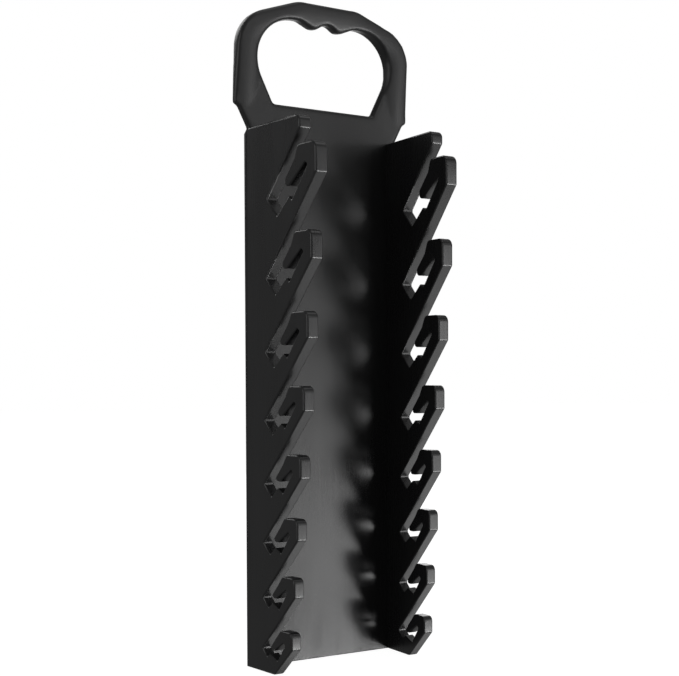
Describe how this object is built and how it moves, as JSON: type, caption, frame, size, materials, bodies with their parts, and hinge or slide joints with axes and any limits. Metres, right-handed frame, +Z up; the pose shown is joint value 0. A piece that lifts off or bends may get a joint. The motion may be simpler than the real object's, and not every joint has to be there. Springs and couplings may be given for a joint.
{
  "type": "wrench rack",
  "caption": "Carry rack for wrenches: a channel with slotted rails, a spring finger at every slot and a handle with a hand opening on top.",
  "frame": {"origin": "centre of the rack's foot, on the surface it stands on, halfway across and halfway between its back and its front", "axes": "+Z up along the rack to the handle, +X across the rack, -Y out of the slots towards the user"},
  "size_m": [0.1236, 0.0712, 0.391],
  "materials": {
    "moulded_plastic": "satin black, moulded in one colour"
  },
  "bodies": {
    "rack": {"back_plate": "moulded_plastic", "carry_handle": "moulded_plastic", "left_rail": "moulded_plastic", "right_rail": "moulded_plastic"},
    "left_finger_1": {"left_finger_1": "moulded_plastic"},
    "left_finger_2": {"left_finger_2": "moulded_plastic"},
    "left_finger_3": {"left_finger_3": "moulded_plastic"},
    "left_finger_4": {"left_finger_4": "moulded_plastic"},
    "left_finger_5": {"left_finger_5": "moulded_plastic"},
    "left_finger_6": {"left_finger_6": "moulded_plastic"},
    "left_finger_7": {"left_finger_7": "moulded_plastic"},
    "left_finger_8": {"left_finger_8": "moulded_plastic"},
    "right_finger_1": {"right_finger_1": "moulded_plastic"},
    "right_finger_2": {"right_finger_2": "moulded_plastic"},
    "right_finger_3": {"right_finger_3": "moulded_plastic"},
    "right_finger_4": {"right_finger_4": "moulded_plastic"},
    "right_finger_5": {"right_finger_5": "moulded_plastic"},
    "right_finger_6": {"right_finger_6": "moulded_plastic"},
    "right_finger_7": {"right_finger_7": "moulded_plastic"},
    "right_finger_8": {"right_finger_8": "moulded_plastic"}
  },
  "joints": [
    {"name": "left_finger_1_flex", "type": "hinge", "parent": "rack", "child": "left_finger_1", "pos_m": [0, -0.01925, 0.28078], "axis": [-1, 0, 0], "range_deg": [0, 5], "stiffness_Nm_per_rad": 2},
    {"name": "left_finger_2_flex", "type": "hinge", "parent": "rack", "child": "left_finger_2", "pos_m": [0, -0.01528, 0.23365], "axis": [-1, 0, 0], "range_deg": [0, 5], "stiffness_Nm_per_rad": 2},
    {"name": "left_finger_3_flex", "type": "hinge", "parent": "rack", "child": "left_finger_3", "pos_m": [0, -0.01162, 0.19007], "axis": [-1, 0, 0], "range_deg": [0, 5], "stiffness_Nm_per_rad": 2},
    {"name": "left_finger_4_flex", "type": "hinge", "parent": "rack", "child": "left_finger_4", "pos_m": [0, -0.00826, 0.14975], "axis": [-1, 0, 0], "range_deg": [0, 5], "stiffness_Nm_per_rad": 2},
    {"name": "left_finger_5_flex", "type": "hinge", "parent": "rack", "child": "left_finger_5", "pos_m": [0, -0.00518, 0.11246], "axis": [-1, 0, 0], "range_deg": [0, 5], "stiffness_Nm_per_rad": 2},
    {"name": "left_finger_6_flex", "type": "hinge", "parent": "rack", "child": "left_finger_6", "pos_m": [0, -0.00234, 0.07796], "axis": [-1, 0, 0], "range_deg": [0, 5], "stiffness_Nm_per_rad": 2},
    {"name": "left_finger_7_flex", "type": "hinge", "parent": "rack", "child": "left_finger_7", "pos_m": [0, 0.00026, 0.04605], "axis": [-1, 0, 0], "range_deg": [0, 5], "stiffness_Nm_per_rad": 2},
    {"name": "left_finger_8_flex", "type": "hinge", "parent": "rack", "child": "left_finger_8", "pos_m": [0, 0.00265, 0.01652], "axis": [-1, 0, 0], "range_deg": [0, 5], "stiffness_Nm_per_rad": 2},
    {"name": "right_finger_1_flex", "type": "hinge", "parent": "rack", "child": "right_finger_1", "pos_m": [0, -0.01925, 0.28078], "axis": [-1, 0, 0], "range_deg": [0, 5], "stiffness_Nm_per_rad": 2},
    {"name": "right_finger_2_flex", "type": "hinge", "parent": "rack", "child": "right_finger_2", "pos_m": [0, -0.01528, 0.23365], "axis": [-1, 0, 0], "range_deg": [0, 5], "stiffness_Nm_per_rad": 2},
    {"name": "right_finger_3_flex", "type": "hinge", "parent": "rack", "child": "right_finger_3", "pos_m": [0, -0.01162, 0.19007], "axis": [-1, 0, 0], "range_deg": [0, 5], "stiffness_Nm_per_rad": 2},
    {"name": "right_finger_4_flex", "type": "hinge", "parent": "rack", "child": "right_finger_4", "pos_m": [0, -0.00826, 0.14975], "axis": [-1, 0, 0], "range_deg": [0, 5], "stiffness_Nm_per_rad": 2},
    {"name": "right_finger_5_flex", "type": "hinge", "parent": "rack", "child": "right_finger_5", "pos_m": [0, -0.00518, 0.11246], "axis": [-1, 0, 0], "range_deg": [0, 5], "stiffness_Nm_per_rad": 2},
    {"name": "right_finger_6_flex", "type": "hinge", "parent": "rack", "child": "right_finger_6", "pos_m": [0, -0.00234, 0.07796], "axis": [-1, 0, 0], "range_deg": [0, 5], "stiffness_Nm_per_rad": 2},
    {"name": "right_finger_7_flex", "type": "hinge", "parent": "rack", "child": "right_finger_7", "pos_m": [0, 0.00026, 0.04605], "axis": [-1, 0, 0], "range_deg": [0, 5], "stiffness_Nm_per_rad": 2},
    {"name": "right_finger_8_flex", "type": "hinge", "parent": "rack", "child": "right_finger_8", "pos_m": [0, 0.00265, 0.01652], "axis": [-1, 0, 0], "range_deg": [0, 5], "stiffness_Nm_per_rad": 2}
  ]
}
